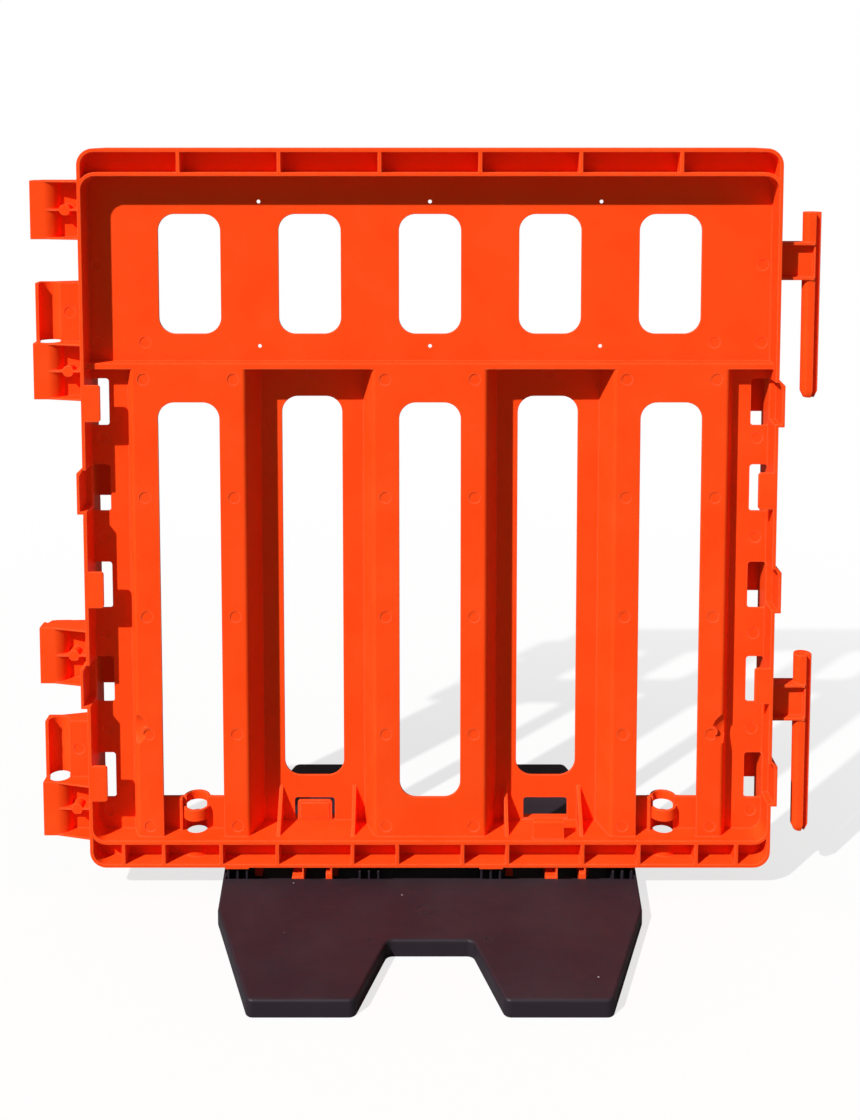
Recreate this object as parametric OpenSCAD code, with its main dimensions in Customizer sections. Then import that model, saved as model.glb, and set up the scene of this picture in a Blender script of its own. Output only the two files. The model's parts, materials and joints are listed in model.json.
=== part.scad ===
// Pedestrian barrier panel: a ribbed moulded panel that stands on a flat moulded foot.
// X runs along the panel, Y runs front to back and Z is up.
// The origin is the centre of the foot's underside, on the ground.

/* [Panel] */
// Width of the panel over its side walls
panel_w = 912; // [880:1:960]
// Height of the panel without the foot
panel_h = 964; // [920:1:1000]
// Depth of the panel from front rim to back rim
panel_d = 74; // [68:1:84]
// Thickness of the side walls and of the rail plates
wall_t = 5; // [4:0.5:7]
// Thickness of the flat skins and webs
skin_t = 4; // [3:0.5:5]
// Radius of the outer corners
corner_r = 22; // [14:1:30]
// Radius of the corners inside the side walls
inner_r = 18; // [10:1:22]

/* [Rails] */
// Height of the bottom rail
bottom_rail_h = 37; // [32:1:44]
// Height of the top rail
top_rail_h = 36; // [32:1:44]
// Depth of the open cells on the front of the rails
cell_depth = 26; // [20:1:30]
// Thickness of the ribs between the cells
rib_t = 5; // [3:0.5:7]
// Distance between the ribs of the top rail
top_rib_pitch = 130; // [110:1:140]

/* [Sign board] */
// Height of the sign board between the ledge and the top rail
board_h = 246; // [230:1:270]
// Thickness of the ledge under the sign board
ledge_t = 8; // [6:0.5:12]
// Width of the hand slots
board_slot_w = 82; // [60:1:100]
// Height of the hand slots above the ledge
board_slot_rise = 36; // [30:1:50]
// Distance from the top rail down to the hand slots
board_slot_drop = 51; // [40:1:60]
// Distance between the rivet holes along the board
rivet_pitch_x = 226; // [215:1:250]
// Distance from the ends of the hand slots to the rivet holes
rivet_gap = 16.5; // [10:0.5:20]
// Radius of the rivet holes
rivet_r = 2.5; // [1.5:0.1:4]

/* [Pales] */
// Distance from a long slot to the edge of a raised pale's face
raised_land = 34.5; // [28:0.5:40]
// Distance from a long slot to the edge of a deep pale
deep_land = 28.5; // [20:0.5:36]
// Sideways run of the webs that slope back to the deep pales
web_run = 15; // [8:1:18]
// Sideways run of the outer webs, which slope back to the strips
strip_web_run = 9; // [6:1:15]
// Radius of the front edges of the raised pales
pale_r = 6; // [2:0.5:8]
// Distance from the rims to the faces of the pales
face_recess = 13; // [9:1:15]
// Width of the strip inside each side wall
stile_w = 49; // [44:1:54]
// Distance from the ledge down to the top of the long slots
slot_top_gap = 44; // [30:1:60]
// Height of the middle slot above the bottom rail
raised_slot_rise = 55; // [50:1:80]
// Height of the deep slots above the bottom rail
deep_slot_rise = 64; // [56:1:90]
// Corner radius of the slots
slot_r = 22; // [10:1:28]
// Height of the dimples in the outer pales above the panel's base
dimple_rise = 186; // [120:1:400]
// Radius of the ball that shapes the dimples
dimple_r = 32; // [26:1:40]
// Distance from the pale's edge out to the middle of that ball
dimple_offset = 9; // [4:1:14]
// Depth of the dimples
dimple_depth = 10; // [6:0.5:12]

/* [Side clips] */
// Reach of a clip's tab, with the side wall
tab_reach = 25; // [20:1:30]
// Height of a clip's tab
tab_h = 49; // [40:1:56]
// Height of the slot behind a tab
clip_slot_h = 63; // [58:1:70]
// Distance that a side wall steps out beside a back tab
bump_out = 8; // [7:0.5:10]
// Height of that step
bump_h = 63; // [50:1:70]

/* [Hinge] */
// Distance from the side walls to the hinge axes
hinge_offset = 48; // [44:1:56]
// Height of the lower socket above the panel's base
socket_rise = 35; // [28:1:60]
// Distance from the panel's top down to the upper socket
socket_drop = 42; // [38:1:60]
// Height of the lowest block of a socket
low_block_h = 75; // [60:1:80]
// Height of the middle block of a socket
mid_block_h = 78; // [70:1:86]
// Height of the gap that takes a neighbour's arm
arm_gap = 59; // [50:1:64]
// Height of the top block of a socket
top_block_h = 77; // [60:1:78]
// Radius of the socket bores
socket_r = 14; // [12.5:0.1:15]
// Wall around the socket bores
socket_wall = 4.5; // [3:0.5:6]
// Thickness of the ribs across the sockets
socket_rib_t = 2.5; // [2:0.5:4]
// Distance that the end ribs of a socket block grow in depth towards the side wall
rib_flare = 12; // [0:1:15]
// Radius of the hinge pins
pin_r = 12; // [10:0.1:12.4]
// Length of the hinge pins
pin_l = 247; // [235:1:260]

/* [Base of the panel] */
// Radius of the post holes
post_r = 14; // [11:0.5:15]
// Height of the post socket above the bottom rail
post_socket_h = 45; // [36:1:52]
// Height of the gussets on the bottom rail
gusset_h = 50; // [40:1:60]
// Width of the window in the right deep pale
window_w = 60; // [50:1:72]
// Width of the window around the latch tongue
latch_window_w = 55; // [46:1:64]
// Height of the windows
window_h = 30; // [22:1:36]
// Height of the windows above the bottom rail
window_rise = 2; // [2:1:8]
// Gap around the latch tongue
latch_gap = 4; // [3:0.5:6]
// Height of the stop block
stop_h = 25; // [18:1:30]
// Distance from a rest pad to the lock hook of its group
lug_pad_gap = 88.5; // [84:0.5:96]
// Depth of the lock lugs under the panel
lug_drop = 26; // [20:1:28]

/* [Foot] */
// Width of the foot under the panel
foot_w = 560; // [540:1:590]
// Width of the foot at its shoulders
foot_shoulder_w = 548; // [520:1:560]
// Width of the foot at its ends
foot_end_w = 424; // [390:1:450]
// Length of the foot across the panel
foot_l = 580; // [540:1:640]
// Distance from the panel's middle plane to the shoulders
foot_shoulder = 107; // [90:1:130]
// Thickness of the foot
foot_t = 22; // [20:1:30]
// Depth of the notch in each end of the foot
notch_l = 115; // [90:1:140]
// Width of the notch at its inner end
notch_in_w = 106; // [90:1:130]
// Width of the notch at its mouth
notch_out_w = 174; // [150:1:200]
// Corner radius of the foot's outline
foot_r = 10; // [4:1:14]
// Height of the saddle ribs above the foot's top
saddle_rise = 14; // [10:1:20]

/* [Hidden] */
$fn = 48;

panel_colour = [0.96, 0.24, 0.07];
foot_colour = [0.20, 0.14, 0.15];

// How far cuts run past the faces that they open
overrun = 1;

// Levels of the panel, from its half sizes
half_w = panel_w / 2;
inner_w = half_w - wall_t;
y_front = -panel_d / 2;
y_back = panel_d / 2;
y_raised = y_front + face_recess;
y_deep = y_back - face_recess - skin_t;
deep_y = [y_deep, y_deep + skin_t];
strip_y = [-skin_t / 2, skin_t / 2];
y_cell = y_front + cell_depth;
z_base = foot_t + saddle_rise;
z_floor = z_base + bottom_rail_h;
z_top = z_base + panel_h;
z_head = z_top - top_rail_h;
z_board = z_head - board_h;
z_ledge = z_board - ledge_t;

// Pales: three raised ones and two deep ones at one pitch, whose slots share what is left of the width
strip_x = inner_w - stile_w;
raised_count = 3;
deep_count = 2;
webs_w = 2 * deep_count * web_run + 2 * strip_web_run;
lands_w = 2 * raised_count * raised_land + 2 * deep_count * deep_land;
pale_slot_w = (2 * strip_x - webs_w - lands_w) / (raised_count + deep_count);
raised_w = pale_slot_w + 2 * raised_land;
raised_half = raised_w / 2;
deep_half = pale_slot_w / 2 + deep_land;
pale_pitch = raised_half + web_run + deep_half;
edge_steps = 9;
slot_top = z_ledge - slot_top_gap;

// Ribs of the bottom rail, as shares of the panel's half width
bottom_rib_shares = [0.096, 0.228, 0.449, 0.614, 0.783, 0.901];
top_rib_count = 6;

// Hand slots and rivet holes
board_slot_z = [z_board + board_slot_rise, z_head - board_slot_drop];
rivet_z = [board_slot_z[0] - rivet_gap, board_slot_z[1] + rivet_gap];

// Clips, as shares of the height between the bottom rail and the ledge
clip_shares = [0.125, 0.336, 0.541, 0.750, 0.9325];
clip_slot_w = 23.5;
clip_slot_drop = 4.5;
tab_r = skin_t;
bump_wall_share = 0.8;

// Hinge levels
hinge_x = half_w + hinge_offset;
socket_base = z_base + socket_rise;
socket_out_r = socket_r + socket_wall;
mid_block_rise = low_block_h;
arm_gap_rise = mid_block_rise + mid_block_h;
top_block_rise = arm_gap_rise + arm_gap;
socket_h = top_block_rise + top_block_h;
upper_base = z_top - socket_drop - socket_h;
pad_share = 0.4;
pad_r = socket_out_r * pad_share;
arm_clear = 4.5;
pad_reach = 27;
plate_d = 10;
plate_flare = 2.5;
pin_tip_l = 10;
pin_tip_share = 0.6;
pin_draft = 0.3;
pin_flat_share = 0.7;
flange_share = 0.1;
groove_x_share = 0.44;
groove_y_share = 0.15;

// Post sockets: three shells stacked on the bottom rail
post_x = 2 * pale_pitch;
post_out_r = post_r + skin_t;
post_ring_shares = [0.38, 0.73];
post_wall_half = raised_half - skin_t;
post_rib_share = 0.5;

// Latch, stop block and lock lugs
latch_clear = 0.5;
latch_x = -pale_pitch;
latch_w = latch_window_w - 2 * latch_gap;
latch_h = window_rise + window_h - latch_gap;
stop_w_share = 0.7;
stop_w = window_w * stop_w_share;
stop_d_share = 0.4;
stop_d = stop_h * stop_d_share;
gusset_t = wall_t;
lug_t = wall_t / 2;
lug_depth = panel_d / 3;
lug_front_gap = 1;
lug_post_gap = 63;
lug_block_gap = 38;
lug_pad_w = 32;
lug_pad_t = 2;
lug_hook = 6 * lug_t;
lug_block = 3 * lug_t;
lug_step_share = 0.7;

// Foot
trough_clear = 1.5;
trough_half_y = panel_d / 2 + trough_clear;
trough_end = 6;
lug_clear = 4;
trough_floor = z_base - lug_drop - lug_clear;
trough_half_x = foot_w / 2 - trough_end;
saddle_rib_t = 3;
saddle_rib_pitch = 12.5;
saddle_end_gap = 1;
short_rib_share = 0.5;
saddle_half_y = trough_half_y - trough_end;
outer_pad_x = trough_half_x - saddle_end_gap - saddle_rib_t / 2 - saddle_rib_pitch;
lug_x = outer_pad_x - lug_pad_gap;

// A block between two corners, given as ranges along X, Y and Z
module block(x, y, z) {
    translate([x[0], y[0], z[0]])
        cube([x[1] - x[0], y[1] - y[0], z[1] - z[0]]);
}

// An outline drawn in X and Z, pushed from y[0] to y[1]
module upright(y) {
    translate([0, y[1], 0])
        rotate([90, 0, 0])
            linear_extrude(y[1] - y[0])
                children();
}

// An outline drawn in Y and Z, pushed from x[0] to x[1]
module sideways(x) {
    translate([x[0], 0, 0])
        rotate([90, 0, 90])
            linear_extrude(x[1] - x[0])
                children();
}

// A rectangle with four round corners
module round_rect(x, z, r) {
    translate([x[0] + r, z[0]])
        square([x[1] - x[0] - 2 * r, z[1] - z[0]]);
    translate([x[0], z[0] + r])
        square([x[1] - x[0], z[1] - z[0] - 2 * r]);
    for (cx = [x[0] + r, x[1] - r], cz = [z[0] + r, z[1] - r])
        translate([cx, cz])
            circle(r);
}

// A rectangle with two round corners, at the bottom or at the top
module half_round_rect(x, z, r, round_top) {
    flat_z = round_top ? [z[0], z[1] - r] : [z[0] + r, z[1]];
    centre_z = round_top ? z[1] - r : z[0] + r;
    translate([x[0] + r, z[0]])
        square([x[1] - x[0] - 2 * r, z[1] - z[0]]);
    translate([x[0], flat_z[0]])
        square([x[1] - x[0], flat_z[1] - flat_z[0]]);
    intersection() {
        for (cx = [x[0] + r, x[1] - r])
            translate([cx, centre_z])
                circle(r);
        translate([x[0], z[0]])
            square([x[1] - x[0], z[1] - z[0]]);
    }
}

// The filled corner between a side wall and a rail, drawn at the inside of the right wall
module corner_fill(z, up) {
    translate([inner_w - inner_r, up ? z : z - inner_r])
        difference() {
            square(inner_r);
            translate([0, up ? inner_r : 0])
                circle(inner_r);
        }
}

// Both filled corners of a rail
module corner_fills(z, up, y) {
    for (side = [0, 1])
        mirror([side, 0, 0])
            upright(y)
                corner_fill(z, up);
}

// The cells of a rail between ribs at the given places, from y[0] to y[1]
module rail_cells(ribs, z, y, round_top) {
    last = len(ribs) - 1;
    low = z[0] + wall_t;
    high = z[1] - wall_t;
    for (i = [0 : last - 1])
        block([ribs[i] + rib_t / 2, ribs[i + 1] - rib_t / 2], y, [low, high]);
    for (side = [0, 1])
        mirror([side, 0, 0])
            upright(y)
                end_cell([ribs[last] + rib_t / 2, inner_w], [low, high], round_top);
}

// The last cell of a rail, which follows the panel's round corner and the curved inner wall
module end_cell(x, z, round_top) {
    r = corner_r - wall_t;
    fill_z = round_top ? z[0] - inner_r : z[1];
    centre_z = round_top ? z[0] - wall_t - inner_r : z[1] + wall_t + inner_r;
    intersection() {
        half_round_rect([x[0] - 2 * r, x[1]], z, r, round_top);
        translate([x[0], z[0]])
            square([x[1] - x[0], z[1] - z[0]]);
    }
    difference() {
        translate([x[1] - inner_r, fill_z])
            square(inner_r);
        translate([x[1] - inner_r, centre_z])
            circle(inner_r + wall_t);
    }
}

// A rail with open cells on both sides of one upright wall; the inner corners skip the given skin
module rail(z, ribs, round_top, skin_y) {
    fill_z = round_top ? z[0] : z[1];
    difference() {
        union() {
            upright([y_front, y_back])
                half_round_rect([-half_w, half_w], z, corner_r, round_top);
            corner_fills(fill_z, !round_top, [y_front, skin_y[0]]);
            corner_fills(fill_z, !round_top, [skin_y[1], y_back]);
        }
        rail_cells(ribs, z, [y_front - overrun, y_cell], round_top);
        rail_cells(ribs, z, [y_cell + skin_t, y_back + overrun], round_top);
    }
}

// The ribs of the bottom rail from left to right
function both_sides(shares, size) = concat(
    [for (i = [len(shares) - 1 : -1 : 0]) -shares[i] * size],
    [for (s = shares) s * size]);

module bottom_rail() {
    color(panel_colour)
        difference() {
            union() {
                rail([z_base, z_floor], both_sides(bottom_rib_shares, half_w), false, strip_y);
                for (side = [-1, 1])
                    translate([side * post_x, 0, z_base])
                        half_tube(post_out_r, bottom_rail_h, -1);
            }
            for (side = [-1, 1])
                translate([side * post_x, 0, z_base - overrun])
                    cylinder(h = bottom_rail_h + 2 * overrun, r = post_r);
        }
}

module top_rail() {
    ribs = [for (i = [0 : top_rib_count - 1]) (i - (top_rib_count - 1) / 2) * top_rib_pitch];
    color(panel_colour)
        rail([z_head, z_top], ribs, true, [0, 0]);
}

module sign_board() {
    color(panel_colour)
        upright([-skin_t / 2, skin_t / 2])
            difference() {
                half_round_rect([-inner_w, inner_w], [z_board, z_head], inner_r, true);
                for (i = [-2 : 2])
                    round_rect(
                        [i * pale_pitch - board_slot_w / 2, i * pale_pitch + board_slot_w / 2],
                        board_slot_z,
                        slot_r);
                for (i = [-1 : 1], z = rivet_z)
                    translate([i * rivet_pitch_x, z])
                        circle(rivet_r);
            }
}

module mid_ledge() {
    color(panel_colour)
        block([-inner_w, inner_w], [y_raised, y_deep + skin_t], [z_ledge, z_board]);
}

// Depth of the skin that a pale's web runs back to: the strip on its outer side, else a deep pale
function skin_y(outer) = outer ? strip_y : deep_y;

// Sideways run of the same web
function skin_run(outer) = outer ? strip_web_run : web_run;

// Sideways thickness of the same web
function web_t(outer) = skin_t * sqrt(1 + pow(skin_run(outer) / (skin_y(outer)[0] - y_raised), 2));

// Points of the round edge between a pale's face and its right web
function edge_points(outer) =
    let (
        angle = atan2(skin_y(outer)[0] - y_raised, skin_run(outer)),
        centre_x = raised_half - pale_r * tan(angle / 2)
    )
    [for (i = [0 : edge_steps])
        let (turn = angle * i / edge_steps)
        [centre_x + pale_r * sin(turn), y_raised + pale_r * (1 - cos(turn))]];

// Points mirrored to the left, in reverse order
function to_left(points) = [for (i = [len(points) - 1 : -1 : 0]) [-points[i][0], points[i][1]]];

// Right half of a raised pale's outer shape, up to its middle plane
function half_outline(outer) =
    let (
        foot_x = raised_half + skin_run(outer),
        skin = skin_y(outer)
    )
    concat(edge_points(outer), [[foot_x, skin[0]], [foot_x, skin[1]], [0, skin[1]]]);

// Outer shape of a raised pale in plan, with its hollow still filled; side is its outer side, or 0
module raised_outline(side) {
    polygon(concat(half_outline(side > 0), to_left(half_outline(side < 0))));
}

// Plan of a raised pale: its face and the two webs that slope back to the skins beside it
module raised_plan(side) {
    left_x = web_t(side < 0) - raised_half;
    left_foot = left_x - skin_run(side < 0);
    right_x = raised_half - web_t(side > 0);
    right_foot = right_x + skin_run(side > 0);
    difference() {
        raised_outline(side);
        polygon([
            [left_x, y_raised + skin_t],
            [right_x, y_raised + skin_t],
            [right_foot, skin_y(side > 0)[1]],
            [right_foot, y_back],
            [left_foot, y_back],
            [left_foot, skin_y(side < 0)[1]],
        ]);
    }
}

// Ball at the front edge of a pale that shapes a dimple, larger by the given wall
module dimple_ball(x, wall) {
    translate([x, y_raised + dimple_depth - dimple_r, z_base + dimple_rise])
        sphere(dimple_r + wall);
}

// Wall behind a dimple, kept inside the outer shape of its pale
module dimple_wall(x, ball_x, side) {
    intersection() {
        dimple_ball(ball_x, skin_t);
        translate([x, 0, z_floor])
            linear_extrude(z_ledge - z_floor)
                raised_outline(side);
    }
}

// A raised pale, whose slot ends above the bottom rail or runs down to it; side is the side that has
// a dimple and meets the strip, or 0
module raised_pale(x, slot_to_floor, side) {
    slot_x = [x - pale_slot_w / 2, x + pale_slot_w / 2];
    cut_y = [y_raised - overrun, y_raised + skin_t + overrun];
    ball_x = x + side * (raised_half + dimple_offset);
    difference() {
        union() {
            translate([x, 0, z_floor])
                linear_extrude(z_ledge - z_floor)
                    raised_plan(side);
            if (side != 0)
                dimple_wall(x, ball_x, side);
        }
        if (side != 0)
            dimple_ball(ball_x, 0);
        upright(cut_y)
            round_rect(slot_x, [z_floor + raised_slot_rise, slot_top], slot_r);
        if (slot_to_floor)
            block(slot_x, cut_y, [z_floor - overrun, slot_top - slot_r]);
    }
}

// A deep pale: a flat skin with a long slot and a window of the given width near the bottom rail
module deep_pale(x, width, window_low) {
    color(panel_colour)
        upright(deep_y)
            difference() {
                translate([x - deep_half, z_floor])
                    square([2 * deep_half, z_ledge - z_floor]);
                round_rect(
                    [x - pale_slot_w / 2, x + pale_slot_w / 2],
                    [z_floor + deep_slot_rise, slot_top],
                    slot_r);
                half_round_rect(
                    [x - width / 2, x + width / 2],
                    [window_low, z_floor + window_rise + window_h],
                    latch_gap,
                    true);
            }
}

module pale_1() { color(panel_colour) raised_pale(-2 * pale_pitch, true, -1); }
module pale_2() { deep_pale(-pale_pitch, latch_window_w, z_floor - overrun); }
module pale_3() { color(panel_colour) raised_pale(0, false, 0); }
module pale_4() { deep_pale(pale_pitch, window_w, z_floor + window_rise); }
module pale_5() { color(panel_colour) raised_pale(2 * pale_pitch, true, 1); }

// Height of a clip's middle
function clip_z(i) = z_floor + clip_shares[i] * (z_ledge - z_floor);

// Outline of the step in a side wall beside a back tab, shrunk by the given inset; its top slopes
module bump_outline(z, inset) {
    low = z - bump_h / 2 + inset;
    high = z + bump_h / 2 - inset;
    out = half_w + bump_out - inset;
    polygon([[inner_w, low], [out, low], [out, high - bump_out], [half_w, high], [inner_w, high]]);
}

// A tab that reaches in from the side wall
module clip_tab(z, y) {
    upright(y)
        difference() {
            round_rect(
                [half_w - tab_reach, inner_w + tab_r],
                [z - tab_h / 2, z + tab_h / 2],
                tab_r);
            translate([inner_w, z - tab_h / 2 - overrun])
                square([2 * tab_r, tab_h + 2 * overrun]);
        }
}

// The slot in the strip behind a tab, a little lower than the tab
module clip_slot(z) {
    middle = z - clip_slot_drop;
    upright([strip_y[0] - overrun, strip_y[1] + overrun])
        round_rect(
            [inner_w - clip_slot_w, inner_w],
            [middle - clip_slot_h / 2, middle + clip_slot_h / 2],
            tab_r);
}

// The right side wall with its strip and clips; front_first sets the lowest clip's kind
module stile(front_first) {
    clips = [0 : len(clip_shares) - 1];
    first = front_first ? 0 : 1;
    difference() {
        union() {
            block([inner_w, half_w], [y_front, y_back], [z_floor, z_head]);
            block([strip_x, inner_w], strip_y, [z_floor, z_ledge]);
            for (i = clips)
                if ((i + first) % 2 == 1)
                    upright([y_front, 0])
                        bump_outline(clip_z(i), 0);
        }
        for (i = clips) {
            clip_slot(clip_z(i));
            if ((i + first) % 2 == 1)
                upright([y_front - overrun, -skin_t])
                    bump_outline(clip_z(i), wall_t * bump_wall_share);
        }
    }
    for (i = clips) {
        if ((i + first) % 2 == 1)
            clip_tab(clip_z(i), [y_back - skin_t, y_back]);
        else
            clip_tab(clip_z(i), [y_front, y_front + skin_t]);
    }
}

module left_stile() { color(panel_colour) mirror([1, 0, 0]) stile(true); }
module right_stile() { color(panel_colour) stile(false); }

// Half of a tube around the Z axis, run past its middle; facing is -1 for front and 1 for back
module half_tube(r_out, h, facing) {
    web_half = skin_t / 2;
    intersection() {
        cylinder(h = h, r = r_out);
        translate([-r_out, facing < 0 ? -r_out : -web_half, 0])
            cube([2 * r_out, r_out + web_half, h]);
    }
}

// Post socket: a low wall in a raised pale that carries half shells in turn, back, front and back
module post_socket(x) {
    ring_low = post_socket_h * post_ring_shares[0];
    ring_high = post_socket_h * post_ring_shares[1];
    rib_x = -post_out_r - skin_t;
    color(panel_colour)
        translate([x, 0, z_floor])
            difference() {
                union() {
                    block([-post_wall_half, post_wall_half], [-skin_t / 2, skin_t / 2], [0, post_socket_h]);
                    half_tube(post_out_r, ring_low, 1);
                    translate([0, 0, ring_low])
                        half_tube(post_out_r, ring_high - ring_low, -1);
                    translate([0, 0, ring_high])
                        half_tube(post_out_r, post_socket_h - ring_high, 1);
                    block([rib_x, rib_x + skin_t], [-post_out_r * post_rib_share, 0], [0, post_socket_h]);
                }
                translate([0, 0, -overrun])
                    cylinder(h = post_socket_h + 2 * overrun, r = post_r);
            }
}

module post_socket_left() { post_socket(-post_x); }
module post_socket_right() { post_socket(post_x); }

// Four upright gussets between the bottom rail and the deep pales, over ribs of the rail
module floor_gussets() {
    gusset_y = y_raised;
    color(panel_colour)
        for (side = [-1, 1], i = [1, 2])
            translate([side * bottom_rib_shares[i] * half_w - gusset_t / 2, 0, 0])
                sideways([0, gusset_t])
                    polygon([[gusset_y, z_floor], [y_deep, z_floor], [y_deep, z_floor + gusset_h]]);
}

module stop_block() {
    stop_y = y_front + wall_t;
    color(panel_colour)
        sideways([pale_pitch - stop_w / 2, pale_pitch + stop_w / 2])
            half_round_rect([stop_y, stop_y + stop_d], [z_floor, z_floor + stop_h], stop_d / 4, true);
}

module latch_tongue() {
    color(panel_colour)
        upright(deep_y)
            half_round_rect(
                [latch_x - latch_w / 2, latch_x + latch_w / 2],
                [z_floor + latch_clear, z_floor + latch_h],
                latch_gap,
                true);
}

// Middle of the rest pad that belongs to a group of lock lugs
function pad_x(x) = x - lug_pad_gap;

// Lock lugs under the bottom rail: a rest pad, and a post, a hook and a block that hang into the trough;
// the hook and the block are cores with plates and toes that run on to the front and the back
module lock_lugs(x) {
    low = z_base - lug_drop;
    core = [-lug_depth / 2, lug_depth / 2];
    full = [y_front + lug_front_gap, y_back - lug_front_gap];
    post = x - lug_post_gap;
    blk = x + lug_block_gap;
    color(panel_colour) {
        block(
            [pad_x(x) - lug_pad_w / 2, pad_x(x) + lug_pad_w / 2],
            [y_front, y_back],
            [z_base - lug_pad_t, z_base]);
        block([post - 2 * lug_t, post + 2 * lug_t], core, [low, z_base]);
        block([x - lug_hook, x + lug_t / 2], core, [low, z_base]);
        block([x - lug_t / 2, x + lug_t / 2], full, [low, z_base]);
        block([x - lug_hook, x], full, [low, low + lug_drop / 2]);
        block([blk - lug_block, blk + lug_block], core, [low, z_base]);
        block([blk - lug_t / 2, blk + lug_t / 2], full, [low, z_base]);
        block([blk - lug_block, blk], full, [low, low + lug_drop * lug_step_share]);
    }
}

module lock_lugs_left() { lock_lugs(-lug_x); }
module lock_lugs_right() { lock_lugs(lug_x); }

// Room for the left wall's steps, cut from the socket blocks that meet them
module bump_room() {
    for (i = [0 : len(clip_shares) - 1])
        if (i % 2 == 1)
            block(
                [-half_w - bump_out, -half_w + overrun],
                [y_front, 0],
                [clip_z(i) - bump_h / 2, clip_z(i) + bump_h / 2]);
}

// A rib of a socket block, from the hinge axis to the side wall, with its depth at both
module end_rib(z, axis_y, wall_y) {
    translate([0, 0, z])
        linear_extrude(socket_rib_t)
            polygon([[-hinge_x, 0], [-hinge_x, axis_y], [-half_w, wall_y], [-half_w, 0]]);
}

// One block of a hinge socket: a half shell with a square corner around the bore, joined to the side wall;
// a top plate can reach to its open side
module socket_block(z, facing, plated) {
    h = z[1] - z[0];
    mid = (z[0] + z[1]) / 2;
    top_rib = z[1] - socket_rib_t;
    web_y = [-skin_t / 2, skin_t / 2];
    flange_y = facing < 0 ? [-socket_out_r, 0] : [0, socket_out_r];
    reach = [-hinge_x, -half_w];
    color(panel_colour)
        difference() {
            union() {
                translate([-hinge_x, 0, z[0]])
                    half_tube(socket_out_r, h, facing);
                block([-hinge_x - socket_out_r, -hinge_x], flange_y, z);
                block(reach, web_y, z);
                block(reach, flange_y, [mid - socket_rib_t / 2, mid + socket_rib_t / 2]);
                for (low = [z[0], top_rib])
                    end_rib(low, facing * socket_out_r, facing * (socket_out_r + rib_flare));
                if (plated)
                    end_rib(top_rib, -facing * plate_d, -facing * (plate_d + plate_flare));
                translate([pad_reach - hinge_x, facing < 0 ? 0 : socket_out_r, mid])
                    rotate([90, 0, 0])
                        cylinder(h = socket_out_r, r = pad_r);
            }
            translate([-hinge_x, 0, z[0] - overrun])
                cylinder(h = h + 2 * overrun, r = socket_r);
            bump_room();
        }
}

// The three blocks of a socket, from the height of its lowest edge
module socket_low(z) { socket_block([z, z + low_block_h], -1, false); }
module socket_mid(z) { socket_block([z + mid_block_rise, z + arm_gap_rise], 1, false); }
module socket_top(z) { socket_block([z + top_block_rise, z + top_block_rise + top_block_h], -1, true); }

module lower_socket_low() { socket_low(socket_base); }
module lower_socket_mid() { socket_mid(socket_base); }
module lower_socket_top() { socket_top(socket_base); }
module upper_socket_low() { socket_low(upper_base); }
module upper_socket_mid() { socket_mid(upper_base); }
module upper_socket_top() { socket_top(upper_base); }

// Height range of the arm that carries a pin
function arm_z(z) = [z + arm_gap_rise + arm_clear, z + arm_gap_rise + arm_gap - arm_clear];

// A hinge pin with a tapered tip, a groove along its outer front and a flat and a step for its arm
module hinge_pin(z) {
    arm = arm_z(z);
    top = z + pin_l;
    low_r = pin_r - 2 * pin_draft;
    color(panel_colour)
        difference() {
            translate([hinge_x, 0, 0]) {
                translate([0, 0, z])
                    cylinder(h = pin_tip_l, r1 = low_r * pin_tip_share, r2 = low_r);
                translate([0, 0, z + pin_tip_l])
                    cylinder(h = arm[0] - z - pin_tip_l, r = low_r);
                translate([0, 0, arm[0]])
                    cylinder(h = arm[1] - arm[0], r = pin_r - pin_draft);
                translate([0, 0, arm[1]])
                    cylinder(h = top - arm[1], r = pin_r);
            }
            block(
                [hinge_x + pin_r * groove_x_share, hinge_x + pin_r + overrun],
                [-pin_r - overrun, -pin_r * groove_y_share],
                [z - overrun, top + overrun]);
            block(
                [hinge_x - pin_r - overrun, hinge_x - pin_r * pin_flat_share],
                [-pin_r - overrun, pin_r + overrun],
                arm);
            block(
                [hinge_x - pin_r - overrun, hinge_x + pin_r * flange_share],
                [-pin_r - overrun, -skin_t / 2],
                arm);
        }
}

// The arm of a pin: a web in the middle plane and two flanges, which run on in front of the pin
module pin_arm(z) {
    arm = arm_z(z);
    reach = [half_w, hinge_x - pin_r * pin_flat_share];
    front_x = [reach[1], hinge_x + pin_r * flange_share];
    color(panel_colour) {
        block(reach, [-skin_t / 2, skin_t / 2], arm);
        for (low = [arm[0], arm[1] - skin_t]) {
            block(reach, [-pin_r, pin_r], [low, low + skin_t]);
            block(front_x, [-pin_r, -skin_t / 2], [low, low + skin_t]);
        }
    }
}

module lower_pin_arm() { pin_arm(socket_base); }
module lower_pin() { hinge_pin(socket_base); }
module upper_pin_arm() { pin_arm(upper_base); }
module upper_pin() { hinge_pin(upper_base); }

// One end of the foot, from the panel's middle plane to the front
module foot_half_plan() {
    end = foot_l / 2;
    polygon([
        [-foot_w / 2, 0],
        [-foot_shoulder_w / 2, -foot_shoulder],
        [-foot_end_w / 2, -end],
        [-notch_out_w / 2, -end],
        [-notch_in_w / 2, -end + notch_l],
        [notch_in_w / 2, -end + notch_l],
        [notch_out_w / 2, -end],
        [foot_end_w / 2, -end],
        [foot_shoulder_w / 2, -foot_shoulder],
        [foot_w / 2, 0],
    ]);
}

// The foot's outline with round corners, outside and inside
module foot_plan() {
    offset(foot_r)
        offset(-2 * foot_r)
            offset(foot_r)
                for (end = [0, 1])
                    mirror([0, end])
                        foot_half_plan();
}

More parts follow.
